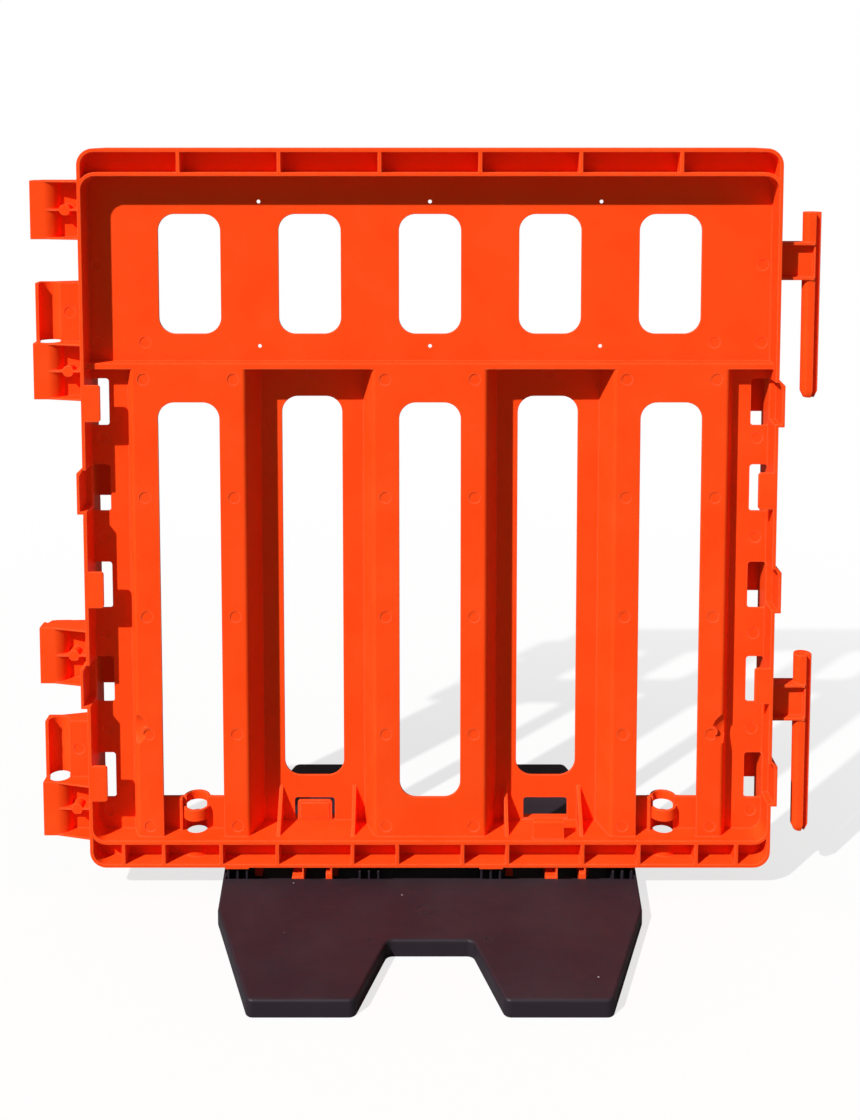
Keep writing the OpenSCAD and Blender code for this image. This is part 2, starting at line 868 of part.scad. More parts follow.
module foot_plate() {
    color(foot_colour)
        difference() {
            linear_extrude(foot_t)
                foot_plan();
            block(
                [-trough_half_x, trough_half_x],
                [-trough_half_y, trough_half_y],
                [trough_floor, foot_t + overrun]);
        }
}

// Three ribs across the trough, up to the given height
module rib_group(x, top) {
    for (i = [-1 : 1])
        translate([x + i * saddle_rib_pitch, 0, 0])
            block(
                [-saddle_rib_t / 2, saddle_rib_t / 2],
                [-saddle_half_y, saddle_half_y],
                [trough_floor, top]);
}

// Tall groups carry the panel's rest pads, and short groups stand at the mirrored places
module saddle_ribs() {
    short_top = foot_t + short_rib_share * saddle_rise;
    color(foot_colour)
        for (side = [-1, 1]) {
            rib_group(pad_x(side * lug_x), z_base - lug_pad_t);
            rib_group(-pad_x(side * lug_x), short_top);
        }
}

foot_plate();
saddle_ribs();
bottom_rail();
top_rail();
left_stile();
right_stile();
sign_board();
mid_ledge();
pale_1();
pale_2();
pale_3();
pale_4();
pale_5();
post_socket_left();
post_socket_right();
floor_gussets();
stop_block();
latch_tongue();
lock_lugs_left();
lock_lugs_right();
lower_socket_low();
lower_socket_mid();
lower_socket_top();
upper_socket_low();
upper_socket_mid();
upper_socket_top();
lower_pin_arm();
lower_pin();
upper_pin_arm();
upper_pin();
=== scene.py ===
"""Looks of the pedestrian barrier panel: one orange moulding on a dark moulded foot, on a pale floor."""
import json
import math

import bmesh
import bpy
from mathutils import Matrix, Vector
from mathutils.geometry import intersect_line_line
from mathutils.kdtree import KDTree

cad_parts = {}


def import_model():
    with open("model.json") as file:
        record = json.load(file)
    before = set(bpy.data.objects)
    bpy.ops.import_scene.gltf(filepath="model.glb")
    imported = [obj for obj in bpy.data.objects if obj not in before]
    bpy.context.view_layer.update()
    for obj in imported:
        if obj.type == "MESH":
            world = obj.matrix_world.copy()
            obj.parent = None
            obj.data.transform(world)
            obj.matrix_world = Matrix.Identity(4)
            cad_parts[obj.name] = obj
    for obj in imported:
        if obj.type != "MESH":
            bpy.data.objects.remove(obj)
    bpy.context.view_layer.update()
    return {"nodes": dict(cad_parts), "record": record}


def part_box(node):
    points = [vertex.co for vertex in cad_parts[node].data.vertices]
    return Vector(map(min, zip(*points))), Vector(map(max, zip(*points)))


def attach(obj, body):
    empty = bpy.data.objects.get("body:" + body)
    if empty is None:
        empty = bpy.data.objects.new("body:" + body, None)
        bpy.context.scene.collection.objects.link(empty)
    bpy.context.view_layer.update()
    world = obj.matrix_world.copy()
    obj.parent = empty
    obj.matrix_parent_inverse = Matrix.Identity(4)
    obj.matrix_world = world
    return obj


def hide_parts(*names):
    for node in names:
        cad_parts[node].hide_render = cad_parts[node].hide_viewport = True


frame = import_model()
MM = 0.001

# Picture size, and the camera that was fitted to the photograph
PICTURE_W = 860
PICTURE_H = 1120
FOCAL_PX = 1341
AXIS_PX = 234.8
CAMERA_PLACE = (0, -1.765, 1.0235)
CAMERA_PITCH = 4.47
SENSOR_W = 36

# Rounded edges of the mouldings. The foot's outer top rim is rounded in full, its other edges by a share
PANEL_EDGE = 0.9 * MM
PANEL_EDGE_STEPS = 2
LATCH_EDGE = 0.6 * MM
FOOT_RIM = 4 * MM
FOOT_RIM_STEPS = 4
FOOT_EDGE_SHARE = 0.2
FOOT_RIM_DROP = 1 * MM
TROUGH_MARGIN = 10 * MM

# Limits by which edges are found, joined, rounded and shaded
WELD = 1e-6
FLAT_ANGLE = math.radians(0.3)
EDGE_ANGLE = math.radians(32)
SHADE_ANGLE = math.radians(38)
RUN_ANGLE = math.radians(25)
TINY_AREA = WELD * MM
TURNED_DOT = 0.5
CROSSING_GAP = PANEL_EDGE / 4

# Room that rounding needs, as shares of its width or of the edge
ROOM_SHARE = 2.2
LONE_ROOM_SHARE = 1.05
END_SHARE = 0.4
END_PIECE = 2 * ROOM_SHARE * PANEL_EDGE
LONG_EDGE = 4 * END_PIECE
SHORT_EDGE = 15 * MM
ROUNDING_TRIES = 6

# Places along X, and levels below and above the dimples, at which the panel's flat faces are cut
PANEL_CUTS = [0] + [side * x * MM for x in (74, 159, 226, 318, 368, 441, 473) for side in (-1, 1)]
PANEL_LEVELS = [194 * MM, 244 * MM]

# Hinge pins: shares of the pin's radius, the height of the tip, and the front of the arm's web
PIN_FLAT_SHARE = 0.86
PIN_GROOVE_SHARES = (0.28, 0.85)
PIN_GROOVE_FLOOR_SHARE = 0.15
PIN_STEP_SHARE = 0.1
PIN_TIP_SHARE = 0.62
PIN_TIP_H = 9 * MM
PIN_DRAFT_SHARE = 0.95
PIN_ARC_STEPS = 40
PIN_WEB_FRONT = -2 * MM

# Round marks of the mould's ejector pins
MARK_R = 7.6 * MM
MARK_DEPTH = 0.9 * MM
MARK_STEPS = 32
MARK_RUN = 3 * MM
LAND_MARK_X = 59 * MM
LAND_MARK_SHARES = (0.022, 0.223, 0.477, 0.731, 0.979)
STRIP_MARK_X = 436.5 * MM
STRIP_MARK_SHARES = (0.040, 0.220, 0.429, 0.637, 0.849)
BOARD_MARKS = ((440 * MM, 0.1), (440 * MM, 0.52), (378 * MM, 0.1))
DEEP_MARK_SHARE = 0.979
HINGE_MARK_X = 477 * MM

# Bosses in the dimples of the outer pales
BOSS_X = 379.5 * MM
BOSS_Z = 219 * MM
BOSS_R = 6.6 * MM
BOSS_RISE = 0.3 * MM
BOSS_RUN = 12 * MM

# Thin caps that close the hinge sockets from above: corners from the axis, in millimetres, and thickness
CAP_CORNERS = ((-12.5, 0), (-9, 10), (14.5, 11), (14.5, -14.5), (-14.5, -14.5), (-14.5, -2))
CAP_T = 2.5 * MM

# Low lip along the front of the bottom rail's floor
LIP_W = 6 * MM
LIP_H = 0.7 * MM
LIP_SLOPE = 1.8 * MM
LIP_INSET = 18.5 * MM

# Step on the latch tongue
LATCH_STEP_GAP = 3.5 * MM
LATCH_STEP = 1.2 * MM

# Marks of the mould on the foot's top: the gate, with a ring and a dot, and ejector pins
GATE_PLACE = (-7 * MM, -111 * MM)
GATE_RADII = (11 * MM, 9.6 * MM, 1.8 * MM)
FOOT_MARK_X = 73 * MM
FOOT_MARK_Y = 175 * MM
FOOT_MARK_R = 4.5 * MM
FOOT_MARK_DEPTH = 0.5 * MM

# Colours, as linear values
ORANGE = (0.95, 0.075, 0.010)
ORANGE_DEEP = (0.93, 0.064, 0.007)
# Paler edge colour: partly wear, partly a painted highlight where the rims catch the light
ORANGE_WEAR_AND_HIGHLIGHT = (0.96, 0.17, 0.07)
FOOT_BROWN = (0.0270, 0.0158, 0.0215)
FOOT_GREY = (0.0210, 0.0150, 0.0205)
# Dust colour, also laid on the foot's rims, where it is partly rubbing and partly a painted highlight
FOOT_DUST_AND_HIGHLIGHT = (0.055, 0.042, 0.048)
FOOT_SPECK = (0.42, 0.38, 0.37)
FLOOR_PALE = (0.82, 0.82, 0.81)
FLOOR_DULL = (0.22, 0.22, 0.22)
WHITE = (1, 1, 1)

# Orange plastic: noise as scale and detail, and the ranges that it is mapped from and to
MOTTLE_NOISE = (14, 5)
MOTTLE_RANGE = (0.35, 0.68)
# Paler edges: partly wear, partly a painted highlight along the rims
WEAR_AND_HIGHLIGHT_R = 2.6 * MM
WEAR_AND_HIGHLIGHT_SCALE = 70
WEAR_AND_HIGHLIGHT_RANGE = (0.2, 0.5)
WEAR_AND_HIGHLIGHT_SHARE = 0.7
ORANGE_ROUGH_SCALE = 45
ORANGE_ROUGH = (0.40, 0.52)
ORANGE_SPECULAR = 0.03
SUBSURFACE_SHARE = 0.1
SUBSURFACE_RADII = (1, 0.12, 0.04)
SUBSURFACE_SCALE = 6 * MM
GRAIN_NOISE = (1100, 2)
SWELL_NOISE = (60, 3)
SWELL_SHARE = 3
ORANGE_RELIEF = (0.08 * MM, 0.6)

# Foot plastic, in the same way: top faces are found by how far they point up
TOP_RANGE = (0.6, 0.95)
STAIN_NOISE = (9, 6)
STAIN_RANGE = (0.40, 0.75)
STAIN_SHARE = 0.35
SCUFF_TURN = 25
SCUFF_STRETCH = (26, 420, 40)
SCUFF_NOISE = (1, 3)
SCUFF_RANGE = (0.60, 0.76)
SCUFF_SHARE = 0.5
# Paler rims of the foot: partly rubbed, partly a painted highlight along the rounded edges
RUB_AND_HIGHLIGHT_R = 2 * MM
RUB_AND_HIGHLIGHT_SHARE = 0.45
FOOT_ROUGH_SCALE = 30
FOOT_ROUGH = (0.42, 0.58)
FOOT_SPECULAR = 0.2
FOOT_GRAIN_NOISE = (900, 3)
FOOT_RELIEF = (0.1 * MM, 0.5)

# Roughness noise and edge mask of both plastics, and the cells, size and rarity of the foot's specks
ROUGH_RANGE = (0.3, 0.7)
EDGE_FALL = (0.98, 0.80)
SPECK_SCALE = 55
SPECK_SIZE = (0.075, 0.045)
SPECK_RARITY = (0.93, 0.94)

# Sunlike key light, from the upper left behind the camera, and the floor's fade to white
KEY_TRAVEL = (0.88, 1, -1.13)
KEY_STRENGTH = 4.8
KEY_ANGLE = 1.0
WORLD_STRENGTH = 0.16
FLOOR_R = 14
FLOOR_STEPS = 96
FLOOR_ROUGH = 0.9
FADE_NEAR = 0.4
FADE_FAR = 2.2
FADE_LOW = 0.75


def new_object(name, mesh):
    """A new object in the scene for a mesh."""
    obj = bpy.data.objects.new(name, mesh)
    bpy.context.scene.collection.objects.link(obj)
    return obj


def from_bmesh(name, edit):
    """A new object made from an edited mesh."""
    bmesh.ops.recalc_face_normals(edit, faces=edit.faces)
    mesh = bpy.data.meshes.new(name)
    edit.to_mesh(mesh)
    edit.free()
    return new_object(name, mesh)


def box(name, low, high):
    """A plain box, used for cutting and joining."""
    edit = bmesh.new()
    bmesh.ops.create_cube(edit, size=1)
    size = [b - a for a, b in zip(low, high)]
    middle = [(a + b) / 2 for a, b in zip(low, high)]
    bmesh.ops.scale(edit, vec=size, verts=edit.verts)
    bmesh.ops.translate(edit, vec=middle, verts=edit.verts)
    return from_bmesh(name, edit)


def loft(name, rings):
    """A closed solid through rings of points, all of one length."""
    edit = bmesh.new()
    verts = [[edit.verts.new(point) for point in ring] for ring in rings]
    count = len(rings[0])
    for low, high in zip(verts, verts[1:]):
        for i in range(count):
            j = (i + 1) % count
            edit.faces.new((low[i], low[j], high[j], high[i]))
    edit.faces.new(verts[0])
    edit.faces.new(verts[-1])
    return from_bmesh(name, edit)


def disc(name, x, z, r, y):
    """A round plug along Y from y[0] to y[1]."""
    angles = [2 * math.pi * i / MARK_STEPS for i in range(MARK_STEPS)]
    rings = [[(x + r * math.cos(a), level, z + r * math.sin(a)) for a in angles] for level in y]
    return loft(name, rings)


def standing_disc(name, x, y, r, z):
    """A round plug along Z from z[0] to z[1]."""
    angles = [2 * math.pi * i / MARK_STEPS for i in range(MARK_STEPS)]
    rings = [[(x + r * math.cos(a), y + r * math.sin(a), level) for a in angles] for level in z]
    return loft(name, rings)


def node_copy(name):
    """A copy of a node, with its triangles joined to flat faces."""
    mesh = frame["nodes"][name].data.copy()
    mesh.materials.clear()
    edit = bmesh.new()
    edit.from_mesh(mesh)
    bmesh.ops.remove_doubles(edit, verts=edit.verts, dist=WELD)
    bmesh.ops.dissolve_limit(edit, angle_limit=FLAT_ANGLE, verts=edit.verts, edges=edit.edges)
    edit.to_mesh(mesh)
    edit.free()
    return new_object("member_" + name, mesh)


def bake_modifiers(obj):
    """Turns an object's modifiers into its mesh."""
    graph = bpy.context.evaluated_depsgraph_get()
    mesh = bpy.data.meshes.new_from_object(obj.evaluated_get(graph))
    obj.modifiers.clear()
    obj.data = mesh


def combine(obj, tools, operation, solver="EXACT"):
    """Joins tools to an object, or cuts them from it, all at once, and removes them."""
    group = bpy.data.collections.new("tools")
    for tool in tools:
        group.objects.link(tool)
    modifier = obj.modifiers.new("combine", "BOOLEAN")
    modifier.operation = operation
    modifier.solver = solver
    modifier.operand_type = "COLLECTION"
    modifier.collection = group
    bake_modifiers(obj)
    for tool in tools:
        bpy.data.objects.remove(tool)
    bpy.data.collections.remove(group)


def direction(loop):
    """The way along an edge of a face."""
    return loop.link_loop_next.vert.co - loop.vert.co


def is_sharp(edge):
    """True for an outer edge at which a mesh turns sharply."""
    return edge.is_manifold and edge.is_convex and edge.calc_face_angle(0) > EDGE_ANGLE


def face_allows(loop, width):
    """True if a face is wide enough to round one of its edges, and its other edges too."""
    start = loop.vert.co
    along = direction(loop).normalized()
    inward = loop.face.normal.cross(along)
    length = direction(loop).length
    margin = min(ROOM_SHARE * width, END_SHARE * length)
    for other in loop.face.loops:
        ends = [other.vert.co - start, other.link_loop_next.vert.co - start]
        (u0, v0), (u1, v1) = sorted((end.dot(along), end.dot(inward)) for end in ends)
        if other == loop or u1 < margin or u0 > length - margin:
            continue
        need = width * (ROOM_SHARE if is_sharp(other.edge) else LONE_ROOM_SHARE)
        for u in (max(u0, margin), min(u1, length - margin)):
            v = v0 + (v1 - v0) * (u - u0) / max(u1 - u0, WELD)
            if WELD < v < need:
                return False
    return True


def has_room(edge, width):
    """True if the faces beside an edge are wide enough to round it, and their next edges long enough."""
    for loop in edge.link_loops:
        for beside in (loop.link_loop_prev, loop.link_loop_next):
            turn = direction(loop).angle(direction(beside), math.pi)
            if turn > RUN_ANGLE and beside.edge.calc_length() < ROOM_SHARE * width:
                return False
        if not face_allows(loop, width):
            return False
    return True


def outline_crossings(corners):
    """Places where the outline of a face runs over itself."""
    sides = list(zip(corners, corners[1:] + corners[:1]))
    places = []
    for i, (a, b) in enumerate(sides):
        for c, d in sides[i + 2:]:
            hit = intersect_line_line(a, b, c, d)
            if hit and (hit[0] - a).dot(hit[0] - b) <= 0 and (hit[1] - c).dot(hit[1] - d) <= 0:
                if (hit[0] - hit[1]).length < CROSSING_GAP and d != a:
                    places.append(hit[0].copy())
    return places


def faults(mesh):
    """Places where the triangles of a face turn over."""
    mesh.calc_loop_triangles()
    turned = set()
    for triangle in mesh.loop_triangles:
        face = mesh.polygons[triangle.polygon_index]
        if triangle.area > TINY_AREA and triangle.normal.dot(face.normal) < TURNED_DOT:
            turned.add(face.index)
    places = []
    for index in turned:
        corners = [mesh.vertices[i].co.copy() for i in mesh.polygons[index].vertices]
        places += outline_crossings(corners) or corners
    return places


def cut_flat_faces(edit, cuts, levels):
    """Cuts a mesh along X, at levels and in its middle plane, and joins flat faces up to these cuts only."""
    planes = [(Vector((1, 0, 0)), x) for x in cuts] + [(Vector((0, 0, 1)), z) for z in levels]
    planes.append((Vector((0, 1, 0)), 0))
    for normal, place in planes:
        geom = edit.verts[:] + edit.edges[:] + edit.faces[:]
        cut = bmesh.ops.bisect_plane(edit, geom=geom, dist=WELD, plane_co=normal * place, plane_no=normal)
        for item in cut["geom_cut"]:
            if isinstance(item, bmesh.types.BMEdge):
                item.seam = True
    bmesh.ops.dissolve_limit(
        edit, angle_limit=FLAT_ANGLE, verts=edit.verts, edges=edit.edges, delimit={"SEAM"})


def split_ends(edit):
    """Splits a short piece off both ends of long sharp edges, so that it can stay sharp on its own."""
    for edge in [edge for edge in edit.edges if is_sharp(edge)]:
        if edge.calc_length() > LONG_EDGE:
            for vert in list(edge.verts):
                bmesh.utils.edge_split(edge, vert, END_PIECE / edge.calc_length())


def round_edges(obj, width, steps, weight, cuts, levels):
    """Rounds an object's outer edges by the weight that a function gives each one, where there is room."""
    edit = bmesh.new()
    edit.from_mesh(obj.data)
    cut_flat_faces(edit, cuts, levels)
    split_ends(edit)
    layer = edit.edges.layers.float.new("bevel_weight_edge")
    rounded = {}
    for edge in edit.edges:
        if is_sharp(edge) and has_room(edge, width * weight(edge)):
            rounded[edge] = weight(edge)
    modifier = obj.modifiers.new("round_edges", "BEVEL")
    modifier.limit_method = "WEIGHT"
    modifier.width = width
    modifier.segments = steps
    modifier.use_clamp_overlap = False
    for tries in range(ROUNDING_TRIES):
        for edge, share in rounded.items():
            edge[layer] = share
        edit.to_mesh(obj.data)
        graph = bpy.context.evaluated_depsgraph_get()
        places = faults(obj.evaluated_get(graph).data)
        if not places:
            break
        tree = KDTree(len(places))
        for i, place in enumerate(places):
            tree.insert(place, i)
        tree.balance()
        longest = SHORT_EDGE if tries < ROUNDING_TRIES / 2 else math.inf
        for edge in list(rounded):
            middle = (edge.verts[0].co + edge.verts[1].co) / 2
            near = edge.calc_length() / 2 + ROOM_SHARE * width * rounded[edge]
            if edge.calc_length() < longest and tree.find(middle)[2] < near:
                del rounded[edge]
                edge[layer] = 0
    edit.to_mesh(obj.data)
    edit.free()
    bake_modifiers(obj)


def smooth(obj):
    """Shades an object smoothly up to its sharp edges, with its flat faces kept flat."""
    edit = bmesh.new()
    edit.from_mesh(obj.data)
    for face in edit.faces:
        face.smooth = True
    for edge in edit.edges:
        edge.smooth = edge.calc_face_angle(0) < SHADE_ANGLE
    edit.to_mesh(obj.data)
    edit.free()
    old_normals = obj.data.attributes.get("custom_normal")
    if old_normals:
        obj.data.attributes.remove(old_normals)
    modifier = obj.modifiers.new("flat_faces", "WEIGHTED_NORMAL")
    modifier.keep_sharp = True


def full_weight(edge):
    """Every sharp edge is rounded alike."""
    return 1


def finish_piece(obj, material, body, nodes):
    """Gives a piece its material and smooth shading, hangs it on the body that it rides on, and hides the
    nodes that it stands for.
    """
    obj.data.materials.clear()
    obj.data.materials.append(material)
    for face in obj.data.polygons:
        face.material_index = 0
    smooth(obj)
    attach(obj, body)
    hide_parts(*nodes)


def pin_section():
    """Outline of a hinge pin of radius 1: a flat front and a groove at its right."""
    left, right = PIN_GROOVE_SHARES
    start = -math.acos(right)
    end = math.pi + math.asin(PIN_FLAT_SHARE)
    arc = [start + (end - start) * i / PIN_ARC_STEPS for i in range(PIN_ARC_STEPS + 1)]
    points = [(math.cos(a), math.sin(a)) for a in arc]
    points.append((left, -PIN_FLAT_SHARE))
    points.append((left, -PIN_GROOVE_FLOOR_SHARE))
    points.append((right, -PIN_GROOVE_FLOOR_SHARE))
    return points


def hinge_pin(name, arm_name):
    """A tapered hinge pin with a chamfered tip, stepped back between the flanges of its arm."""
    low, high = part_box(name)
    arm_low, arm_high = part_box(arm_name)
    centre = (low + high) / 2
    r = (high.x - low.x) / 2
    tip_share = PIN_TIP_SHARE * PIN_DRAFT_SHARE
    levels = ((low.z, tip_share), (low.z + PIN_TIP_H, PIN_DRAFT_SHARE), (high.z, 1))
    rings = []
    for z, share in levels:
        rings.append([(centre.x + share * r * x, centre.y + share * r * y, z) for x, y in pin_section()])
    pin = loft("member_" + name, rings)
    step_low = (low.x - r, low.y - r, arm_low.z)
    step_high = (centre.x + PIN_STEP_SHARE * r, PIN_WEB_FRONT, arm_high.z)
    combine(pin, [box("pin_step", step_low, step_high)], "DIFFERENCE")
    return pin


def along(low, high, share):
    """A height given as a share of a range."""
    return low + (high - low) * share


def ejector_marks():
    """Shallow round marks in the faces, as plugs to cut."""
    spots = []
    low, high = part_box("pale_4")
    pitch = (low.x + high.x) / 2
    for x in (-pitch, pitch):
        spots.append((x, low.y, along(low.z, high.z, DEEP_MARK_SHARE)))
    low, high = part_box("pale_3")
    for middle in (-2 * pitch, 0, 2 * pitch):
        for share in LAND_MARK_SHARES:
            for side in (-1, 1):
                spots.append((middle + side * LAND_MARK_X, low.y, along(low.z, high.z, share)))
    strip_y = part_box("sign_board")[0].y
    for share in STRIP_MARK_SHARES:
        for side in (-1, 1):
            spots.append((side * STRIP_MARK_X, strip_y, along(low.z, high.z, share)))
    for name in ("lower_socket_mid", "upper_socket_mid"):
        low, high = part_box(name)
        spots.append((-HINGE_MARK_X, low.y, (low.z + high.z) / 2))
    low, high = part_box("sign_board")
    for x, share in BOARD_MARKS:
        for side in (-1, 1):
            spots.append((side * x, low.y, along(low.z, high.z, share)))
    plugs = []
    for i, (x, y, z) in enumerate(spots):
        plugs.append(disc(f"mark_{i}", x, z, MARK_R, (y - MARK_RUN, y + MARK_DEPTH)))
    return plugs


def dimple_bosses():
    """Round bosses at the inner end of the dimples."""
    face_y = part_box("pale_1")[0].y
    y = (face_y - BOSS_RISE, face_y + BOSS_RUN)
    return [disc(f"boss_{side}", side * BOSS_X, BOSS_Z, BOSS_R, y) for side in (-1, 1)]


def socket_caps():
    """Thin caps on the top blocks of the hinge sockets."""
    mounts = {mount["name"]: mount for mount in frame["record"]["mounts"]}
    axis_x = mounts["upper_hinge_socket"]["pos_m"][0]
    caps = []
    for name in ("lower_socket_top", "upper_socket_top"):
        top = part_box(name)[1].z
        rings = [[(axis_x + x * MM, y * MM, z) for x, y in CAP_CORNERS] for z in (top - CAP_T, top)]
        caps.append(loft("cap_" + name, rings))
    return caps


def floor_lip():
    """A low lip along the front edge of the floor."""
    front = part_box("bottom_rail")[0].y
    back = front + LIP_W
    floor_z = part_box("pale_1")[0].z
    ledge_low, ledge_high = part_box("mid_ledge")
    outline = ((front, floor_z - LIP_H), (back, floor_z - LIP_H), (back, floor_z),
               (back - LIP_SLOPE, floor_z + LIP_H), (front, floor_z + LIP_H))
    ends = (ledge_low.x + LIP_INSET, ledge_high.x - LIP_INSET)
    return loft("lip", [[(x, y, z) for y, z in outline] for x in ends])


def panel_moulding(material):
    """All fixed members of the panel as one continuous moulding."""
    nodes = frame["record"]["behaviour"]["bodies"]["panel"]
    pins = {"lower_pin": "lower_pin_arm", "upper_pin": "upper_pin_arm"}
    members = [node_copy(name) for name in nodes if name not in pins]
    members += [hinge_pin(name, arm) for name, arm in pins.items()]
    members += dimple_bosses()
    members += socket_caps()
    members.append(floor_lip())
    panel = members[0]
    panel.name = "panel_moulding"
    combine(panel, members[1:], "UNION")
    round_edges(panel, PANEL_EDGE, PANEL_EDGE_STEPS, full_weight, PANEL_CUTS, PANEL_LEVELS)
    combine(panel, ejector_marks(), "DIFFERENCE", "MANIFOLD")
    finish_piece(panel, material, "panel", nodes)


def latch(material):
    """The latch tongue, with a step on its front."""
    low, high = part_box("latch_tongue")
    tongue = node_copy("latch_tongue")
    tongue.name = "latch_piece"
    step_low = (low.x + LATCH_STEP_GAP, low.y - LATCH_STEP, low.z + LATCH_STEP_GAP)
    step_high = (high.x - LATCH_STEP_GAP, low.y + LATCH_STEP, high.z - LATCH_STEP_GAP)
    combine(tongue, [box("latch_step", step_low, step_high)], "UNION")
    round_edges(tongue, LATCH_EDGE, PANEL_EDGE_STEPS, full_weight, [(low.x + high.x) / 2], [])
    finish_piece(tongue, material, "latch", ["latch_tongue"])


def foot_marks(top):
    """Marks of the mould in the foot's top, as plugs to cut."""
    depth = (top - FOOT_MARK_DEPTH, top + MARK_RUN)
    ring_r, land_r, dot_r = GATE_RADII
    ring = standing_disc("gate_ring", *GATE_PLACE, ring_r, depth)
    land = standing_disc("gate_land", *GATE_PLACE, land_r, (top - MARK_RUN, top + 2 * MARK_RUN))
    combine(ring, [land], "DIFFERENCE")
    plugs = [ring, standing_disc("gate_dot", *GATE_PLACE, dot_r, depth)]
    for x in (-FOOT_MARK_X, FOOT_MARK_X):
        for y in (-FOOT_MARK_Y, FOOT_MARK_Y):
            plugs.append(standing_disc("foot_mark", x, y, FOOT_MARK_R, depth))
    return plugs


def foot(material):
    """The foot plate with its saddle ribs, as one moulding with a round rim."""
    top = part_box("foot_plate")[1].z
    trough_low, trough_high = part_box("saddle_ribs")

    def weight(edge):
        """The outer top rim is rounded in full, the rest a little."""
        for vert in edge.verts:
            inside_x = trough_low.x - TROUGH_MARGIN < vert.co.x < trough_high.x + TROUGH_MARGIN
            inside_y = trough_low.y - TROUGH_MARGIN < vert.co.y < trough_high.y + TROUGH_MARGIN
            if inside_x and inside_y or vert.co.z < top - FOOT_RIM_DROP:
                return FOOT_EDGE_SHARE
        return 1

    plate = node_copy("foot_plate")
    plate.name = "foot_moulding"
    combine(plate, [node_copy("saddle_ribs")], "UNION")
    round_edges(plate, FOOT_RIM, FOOT_RIM_STEPS, weight, [0], [])
    combine(plate, foot_marks(top), "DIFFERENCE", "MANIFOLD")
    finish_piece(plate, material, "foot", ["foot_plate", "saddle_ribs"])


def principled(name):
    """A new node material and its shader."""
    material = bpy.data.materials.new(name)
    material.use_nodes = True
    return material, material.node_tree, material.node_tree.nodes["Principled BSDF"]


def add_node(tree, kind, **inputs):
    """A new shader node with values or links for its inputs, each named as its socket is."""
    node = tree.nodes.new(kind)
    for key, value in inputs.items():
        socket = node.inputs[key.replace("_", " ")]
        if isinstance(value, bpy.types.NodeSocket):
            tree.links.new(value, socket)
        else:
            socket.default_value = value
    return node


def noise(tree, coords, scale, detail=4, roughness=0.55):
    """Soft noise between 0 and 1."""
    inputs = {"Vector": coords, "Scale": scale, "Detail": detail, "Roughness": roughness}
    return add_node(tree, "ShaderNodeTexNoise", **inputs).outputs["Fac"]


def ramp(tree, value, low, high, out_low=0, out_high=1):
    """A value mapped from one range to another, and held at its ends."""
    node = add_node(tree, "ShaderNodeMapRange", Value=value)
    node.inputs["From Min"].default_value = low
    node.inputs["From Max"].default_value = high
    node.inputs["To Min"].default_value = out_low
    node.inputs["To Max"].default_value = out_high
    return node.outputs["Result"]


def math_node(tree, operation, a, b):
    """Two values combined."""
    node = tree.nodes.new("ShaderNodeMath")
    node.operation = operation
    for socket, value in zip(node.inputs, (a, b)):
        if isinstance(value, bpy.types.NodeSocket):
            tree.links.new(value, socket)
        else:
            socket.default_value = value
    return node.outputs["Value"]


def times(tree, a, b):
    """Two values multiplied."""
    return math_node(tree, "MULTIPLY", a, b)


def mix(tree, factor, a, b):
    """Two colours mixed by a factor."""
    node = tree.nodes.new("ShaderNodeMix")
    node.data_type = "RGBA"
    for key, value in (("Factor", factor), ("A", a), ("B", b)):
        socket = [s for s in node.inputs if s.name == key and (key == "Factor" or s.type == "RGBA")][0]
        if isinstance(value, bpy.types.NodeSocket):
            tree.links.new(value, socket)
        else:
            socket.default_value = (*value, 1) if key != "Factor" else value
    return [s for s in node.outputs if s.type == "RGBA"][0]


def object_coords(tree):
    """The object's own coordinates, in metres."""
    return tree.nodes.new("ShaderNodeTexCoord").outputs["Object"]


def stretched(tree, coords, turn, scale):
    """Coordinates turned about Z and scaled, so that noise becomes streaks."""
    node = add_node(tree, "ShaderNodeMapping", Vector=coords, Scale=scale)
    node.inputs["Rotation"].default_value = (0, 0, math.radians(turn))
    return node.outputs["Vector"]


def specks(tree, coords):
    """1 on a few small specks, and 0 elsewhere."""
    cells = add_node(tree, "ShaderNodeTexVoronoi", Vector=coords, Scale=SPECK_SCALE)
    near = ramp(tree, cells.outputs["Distance"], *SPECK_SIZE)
    pick = add_node(tree, "ShaderNodeSeparateXYZ", Vector=cells.outputs["Color"]).outputs["X"]
    return times(tree, near, ramp(tree, pick, *SPECK_RARITY))


def edge_mask(tree, radius):
    """1 along the edges of a piece, fading to 0 on its faces."""
    round_normal = add_node(tree, "ShaderNodeBevel", Radius=radius).outputs["Normal"]
    flat_normal = tree.nodes.new("ShaderNodeNewGeometry").outputs["Normal"]
    dot = tree.nodes.new("ShaderNodeVectorMath")
    dot.operation = "DOT_PRODUCT"
    tree.links.new(round_normal, dot.inputs[0])
    tree.links.new(flat_normal, dot.inputs[1])
    return ramp(tree, dot.outputs["Value"], *EDGE_FALL)


def add_bump(tree, shader, height, distance, strength):
    """Fine relief on a shader's normal."""
    node = add_node(tree, "ShaderNodeBump", Height=height, Distance=distance, Strength=strength)
    tree.links.new(node.outputs["Normal"], shader.inputs["Normal"])


